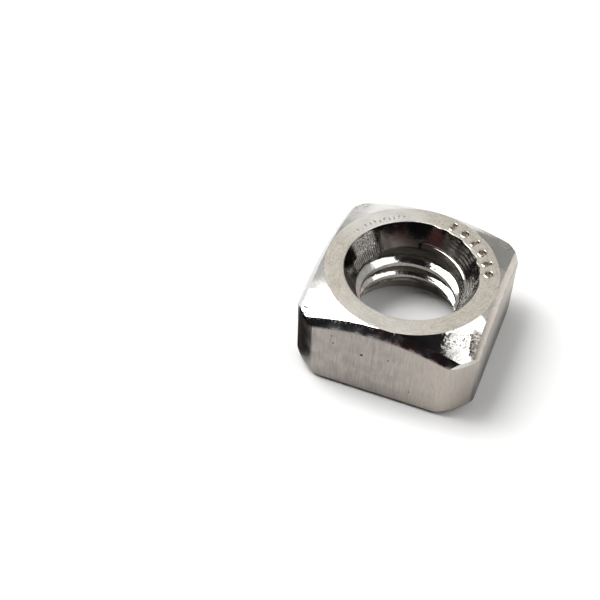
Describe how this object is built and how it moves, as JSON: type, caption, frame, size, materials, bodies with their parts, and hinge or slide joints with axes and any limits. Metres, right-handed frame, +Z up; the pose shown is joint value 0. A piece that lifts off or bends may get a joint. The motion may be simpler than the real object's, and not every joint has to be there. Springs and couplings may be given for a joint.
{
  "type": "square nut",
  "caption": "Cold-formed square nut with a crowned top face, trimmed corners and a threaded through bore.",
  "frame": {"origin": "middle of the flat bearing face, on the axis of the bore", "axes": "+Z up along the bore, from the bearing face to the crowned face; X and Y square to the flats"},
  "size_m": [0.016, 0.016, 0.008],
  "materials": {
    "steel": "bright cold-formed stainless steel, satin on the turned ring face and the flats, mirror-like on the crown and in the bore"
  },
  "bodies": {
    "root": {"nut": "steel"}
  },
  "joints": []
}
